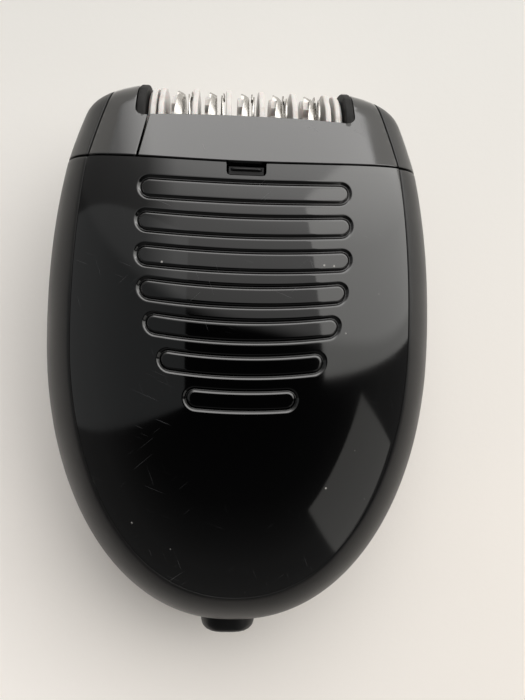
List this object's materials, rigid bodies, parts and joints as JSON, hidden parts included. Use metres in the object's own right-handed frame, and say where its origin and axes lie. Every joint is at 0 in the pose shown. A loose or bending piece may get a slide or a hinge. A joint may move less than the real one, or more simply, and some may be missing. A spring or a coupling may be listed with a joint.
{
  "type": "electric epilator",
  "caption": "Palm-size electric disc epilator with a ribbed glossy back, a removable disc head, a slide switch and a low-voltage inlet.",
  "frame": {"origin": "centre of the bottom of the bounding box; the object rests on the flat of its front cover", "axes": "+X across the body, +Y from the power inlet to the disc head, +Z out of the ribbed back"},
  "size_m": [0.0624, 0.0907, 0.0335],
  "materials": {
    "gloss_black": "polished, fine scratches",
    "satin_black": "fine satin texture",
    "inner_black": "moulded, matt",
    "disc_white": "smooth moulded",
    "tweezer_steel": "stamped and polished",
    "steel": "turned or rolled",
    "brass": "turned",
    "natural_plastic": "moulded, uncoloured",
    "board_green": "solder mask on laminate"
  },
  "bodies": {
    "body": {"back_cover": "gloss_black", "rim_frame": "satin_black", "front_cover": "satin_black", "chassis": "inner_black", "gear_bracket": "inner_black", "motor_can": "steel", "motor_end_bell": "disc_white", "reduction_wheel_pin": "steel", "idler_gear_pin": "steel", "circuit_board": "board_green", "capacitor": "steel", "switch_base": "inner_black", "inlet_housing": "satin_black", "inlet_pin_left": "brass", "inlet_pin_right": "brass", "release_spring": "steel", "housing_screw_1": "steel", "housing_screw_2": "steel", "housing_screw_3": "steel", "housing_screw_4": "steel"},
    "rotor": {"motor_rotor": "steel", "motor_pinion": "brass"},
    "wheel": {"reduction_wheel": "natural_plastic"},
    "idler": {"idler_gear": "natural_plastic"},
    "slider": {"switch_slider": "gloss_black"},
    "release": {"release_button": "satin_black"},
    "head": {"head_frame": "inner_black", "head_back_plate": "gloss_black", "head_back_cap": "gloss_black", "head_front_plate": "gloss_black", "bearing_cheek_left": "satin_black", "bearing_cheek_right": "satin_black", "head_side_left": "satin_black", "head_side_right": "satin_black"},
    "drum": {"disc_axle": "steel", "drum_core": "inner_black", "drum_gear": "disc_white", "end_cap_left": "disc_white", "end_cap_right": "disc_white", "carrier_disc_1": "disc_white", "carrier_disc_2": "disc_white", "carrier_disc_3": "disc_white", "carrier_disc_4": "disc_white", "carrier_disc_5": "disc_white", "carrier_disc_6": "disc_white", "spacer_disc_1": "disc_white", "spacer_disc_2": "disc_white", "spacer_disc_3": "disc_white", "spacer_disc_4": "disc_white", "spacer_disc_5": "disc_white", "tweezer_disc_1": "tweezer_steel", "tweezer_disc_2": "tweezer_steel", "tweezer_disc_3": "tweezer_steel", "tweezer_disc_4": "tweezer_steel", "tweezer_disc_5": "tweezer_steel", "tweezer_disc_6": "tweezer_steel", "tweezer_disc_7": "tweezer_steel", "tweezer_disc_8": "tweezer_steel", "tweezer_disc_9": "tweezer_steel", "tweezer_disc_10": "tweezer_steel"}
  },
  "joints": [
    {"name": "head_release", "type": "slide", "parent": "body", "child": "head", "axis": [0, 1, 0], "range_m": [0, 0.03]},
    {"name": "drum_spin", "type": "hinge", "parent": "head", "child": "drum", "pos_m": [0, 0.036, 0.0165], "axis": [1, 0, 0], "continuous": true},
    {"name": "idler_spin", "type": "hinge", "parent": "body", "child": "idler", "pos_m": [-0.0186, 0.0234, 0.0165], "axis": [1, 0, 0], "continuous": true},
    {"name": "wheel_spin", "type": "hinge", "parent": "body", "child": "wheel", "pos_m": [-0.0165, 0.0126, 0.0165], "axis": [1, 0, 0], "continuous": true},
    {"name": "rotor_spin", "type": "hinge", "parent": "body", "child": "rotor", "pos_m": [0, 0, 0.0165], "axis": [1, 0, 0], "continuous": true},
    {"name": "switch_slide", "type": "slide", "parent": "body", "child": "slider", "axis": [0, 1, 0], "range_m": [0, 0.008]},
    {"name": "release_press", "type": "slide", "parent": "body", "child": "release", "axis": [0, 0, -1], "range_m": [0, 0.001], "stiffness_N_per_m": 800, "springref_m": -0.0005, "deforming": ["release_spring"]}
  ],
  "couplings": [
    {"joint": "idler_spin", "follows": "drum_spin", "ratio": -0.75},
    {"joint": "wheel_spin", "follows": "drum_spin", "ratio": 1.5},
    {"joint": "rotor_spin", "follows": "drum_spin", "ratio": -5.25}
  ]
}
